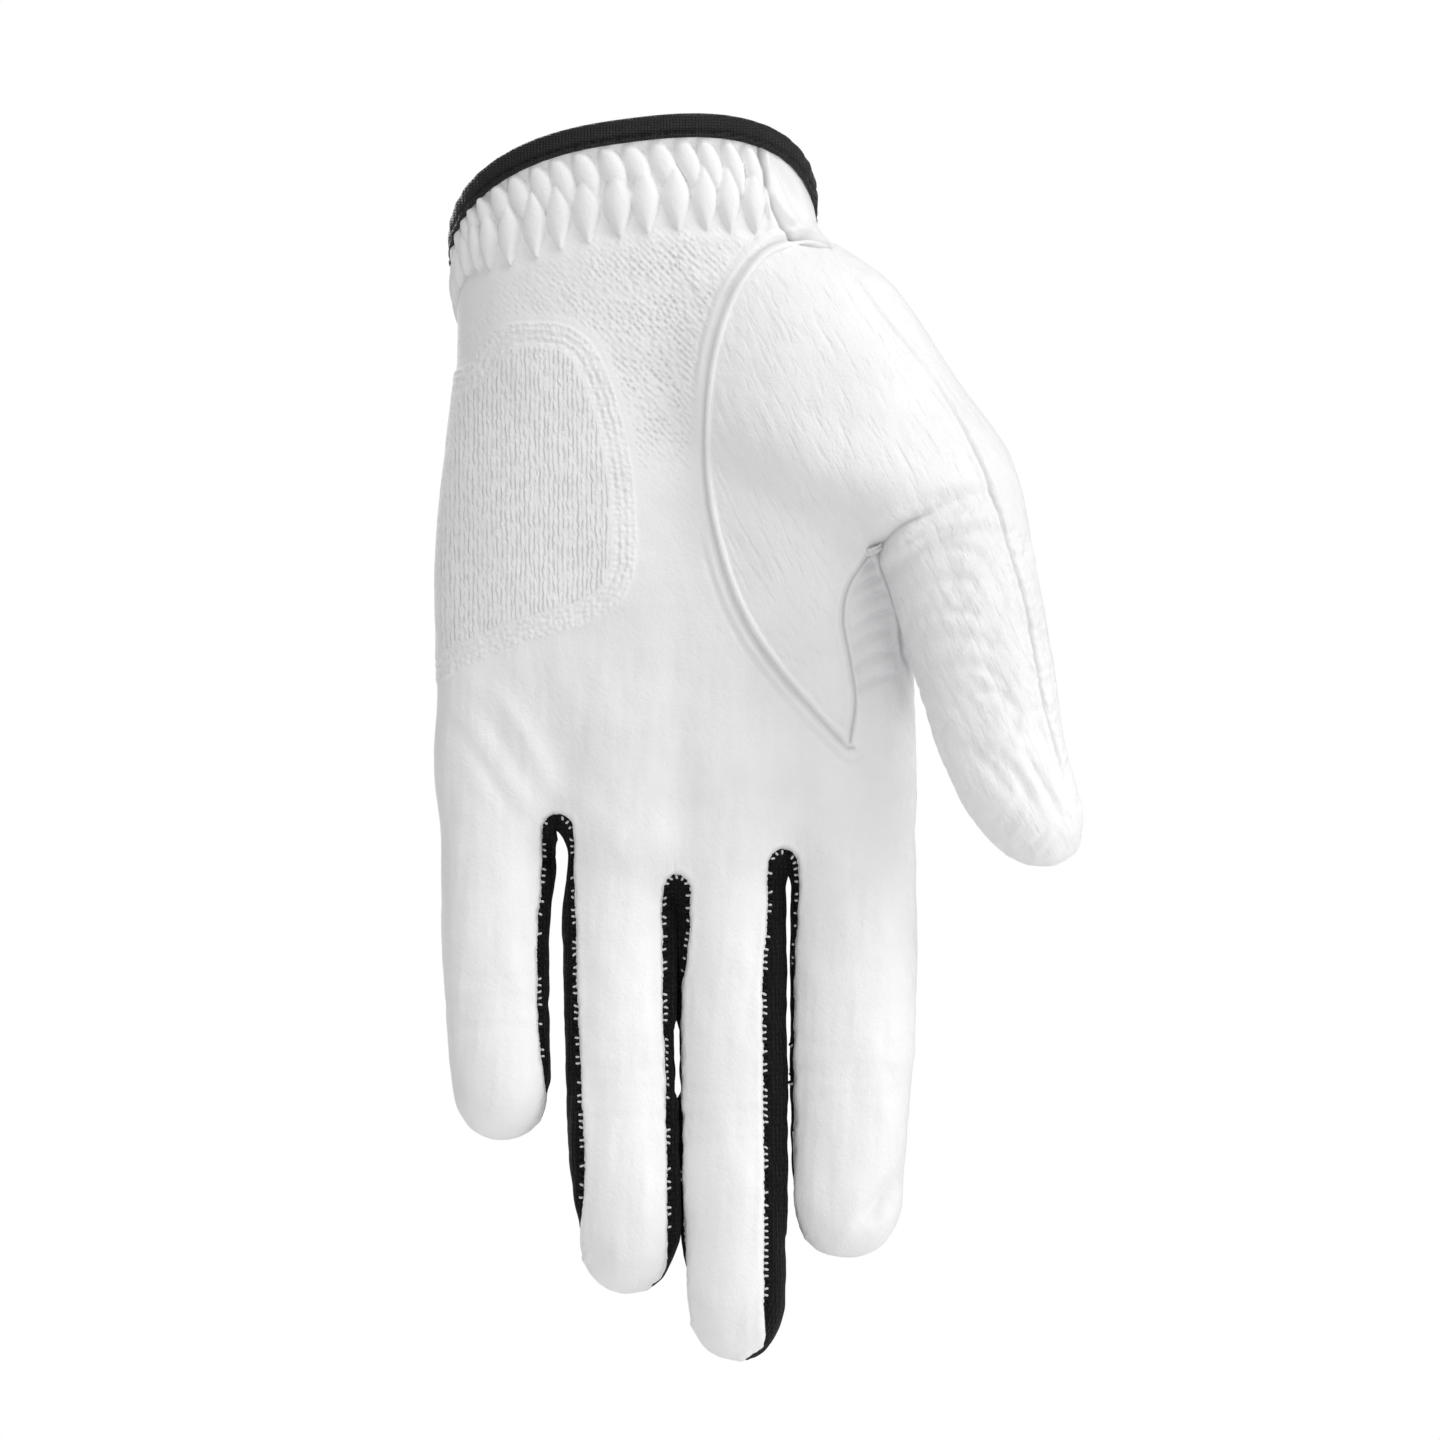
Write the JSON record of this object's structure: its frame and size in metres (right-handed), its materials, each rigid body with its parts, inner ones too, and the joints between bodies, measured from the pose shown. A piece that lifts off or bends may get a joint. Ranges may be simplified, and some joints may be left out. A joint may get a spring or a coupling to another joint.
{
  "type": "golf glove",
  "caption": "Left-hand golf glove in white leather with black mesh between its bending fingers, a gathered bound wrist and a peel-open tab on the back.",
  "frame": {"origin": "centre of the wrist opening, where the hand goes in", "axes": "+Z out of the opening along the forearm, fingers toward -Z, the palm faces -Y, the thumb is on the +X side"},
  "size_m": [0.1183, 0.053, 0.2332],
  "materials": {
    "white_leather": "thin, fine grained white glove leather",
    "ribbed_leather": "white leather with pressed fine ribs",
    "black_mesh": "matte black stretch knit",
    "black_binding": "black woven edge tape",
    "elastic": "white woven elastic tape",
    "thread": "twisted white sewing thread",
    "loop_pile": "white brushed loop pile",
    "hook_tape": "white moulded hook tape"
  },
  "bodies": {
    "palm": {"palm_panel": "white_leather", "heel_patch": "ribbed_leather", "thenar_panel": "white_leather", "thenar_welt": "white_leather", "web_gusset": "white_leather", "bartack": "thread", "back_panel": "white_leather", "knuckle_mesh": "black_mesh", "fourchette_forks": "black_mesh", "thumb_back_panel": "white_leather", "wrist_binding": "black_binding", "slit_binding": "black_binding", "wrist_elastics": "elastic", "loop_pad": "loop_pile", "tab_base": "white_leather"},
    "little_lower": {"little_lower_front": "white_leather", "little_lower_back": "white_leather", "little_lower_fourchettes": "black_mesh", "little_base_crease": "white_leather"},
    "little_upper": {"little_upper_front": "white_leather", "little_upper_back": "white_leather", "little_upper_fourchettes": "black_mesh", "little_middle_crease": "white_leather"},
    "ring_lower": {"ring_lower_front": "white_leather", "ring_lower_back": "white_leather", "ring_lower_fourchettes": "black_mesh", "ring_base_crease": "white_leather"},
    "ring_upper": {"ring_upper_front": "white_leather", "ring_upper_back": "white_leather", "ring_upper_fourchettes": "black_mesh", "ring_middle_crease": "white_leather"},
    "middle_lower": {"middle_lower_front": "white_leather", "middle_lower_back": "white_leather", "middle_lower_fourchettes": "black_mesh", "middle_base_crease": "white_leather"},
    "middle_upper": {"middle_upper_front": "white_leather", "middle_upper_back": "white_leather", "middle_upper_fourchettes": "black_mesh", "middle_middle_crease": "white_leather"},
    "index_lower": {"index_lower_front": "white_leather", "index_lower_back": "white_leather", "index_lower_fourchettes": "black_mesh", "index_base_crease": "white_leather"},
    "index_upper": {"index_upper_front": "white_leather", "index_upper_back": "white_leather", "index_upper_fourchettes": "black_mesh", "index_middle_crease": "white_leather"},
    "thumb_tip": {"thumb_tip_front": "white_leather", "thumb_tip_back": "white_leather", "thumb_crease": "white_leather"},
    "closure_tab": {"closure_tab": "white_leather", "hook_pad": "hook_tape", "tab_fold": "white_leather"}
  },
  "joints": [
    {"name": "little_base_flex", "type": "hinge", "parent": "palm", "child": "little_lower", "pos_m": [-0.02493, -0.00336, -0.12177], "axis": [-0.9996, 0, -0.0283], "range_deg": [-10, 70], "stiffness_Nm_per_rad": 0.02, "deforming": ["little_base_crease"]},
    {"name": "little_middle_flex", "type": "hinge", "parent": "little_lower", "child": "little_upper", "pos_m": [-0.02432, -0.00503, -0.14327], "axis": [-0.9996, 0, -0.0283], "range_deg": [0, 90], "stiffness_Nm_per_rad": 0.012, "deforming": ["little_middle_crease"]},
    {"name": "ring_base_flex", "type": "hinge", "parent": "palm", "child": "ring_lower", "pos_m": [-0.00204, -0.00414, -0.13277], "axis": [-0.9999, 0, -0.0161], "range_deg": [-10, 70], "stiffness_Nm_per_rad": 0.02, "deforming": ["ring_base_crease"]},
    {"name": "ring_middle_flex", "type": "hinge", "parent": "ring_lower", "child": "ring_upper", "pos_m": [-0.0016, -0.00618, -0.15977], "axis": [-0.9999, 0, -0.0161], "range_deg": [0, 90], "stiffness_Nm_per_rad": 0.012, "deforming": ["ring_middle_crease"]},
    {"name": "middle_base_flex", "type": "hinge", "parent": "palm", "child": "middle_lower", "pos_m": [0.01865, -0.00416, -0.13277], "axis": [-1, 0, -0.0072], "range_deg": [-10, 70], "stiffness_Nm_per_rad": 0.02, "deforming": ["middle_base_crease"]},
    {"name": "middle_middle_flex", "type": "hinge", "parent": "middle_lower", "child": "middle_upper", "pos_m": [0.01888, -0.00656, -0.16427], "axis": [-1, 0, -0.0072], "range_deg": [0, 90], "stiffness_Nm_per_rad": 0.012, "deforming": ["middle_middle_crease"]},
    {"name": "index_base_flex", "type": "hinge", "parent": "palm", "child": "index_lower", "pos_m": [0.04081, -0.00363, -0.12829], "axis": [-0.9999, 0, 0.013], "range_deg": [-10, 70], "stiffness_Nm_per_rad": 0.02, "deforming": ["index_base_crease"]},
    {"name": "index_middle_flex", "type": "hinge", "parent": "index_lower", "child": "index_upper", "pos_m": [0.04045, -0.00556, -0.15579], "axis": [-0.9999, 0, 0.013], "range_deg": [0, 90], "stiffness_Nm_per_rad": 0.012, "deforming": ["index_middle_crease"]},
    {"name": "thumb_tip_flex", "type": "hinge", "parent": "palm", "child": "thumb_tip", "pos_m": [0.06624, -0.02219, -0.09011], "axis": [-0.9765, 0, -0.2153], "range_deg": [-10, 60], "stiffness_Nm_per_rad": 0.02, "deforming": ["thumb_crease"]},
    {"name": "closure_tab_open", "type": "hinge", "parent": "palm", "child": "closure_tab", "pos_m": [0.012, 0.02102, -0.027], "axis": [0, -0.0997, -0.995], "range_deg": [0, 120], "deforming": ["tab_fold"]}
  ]
}
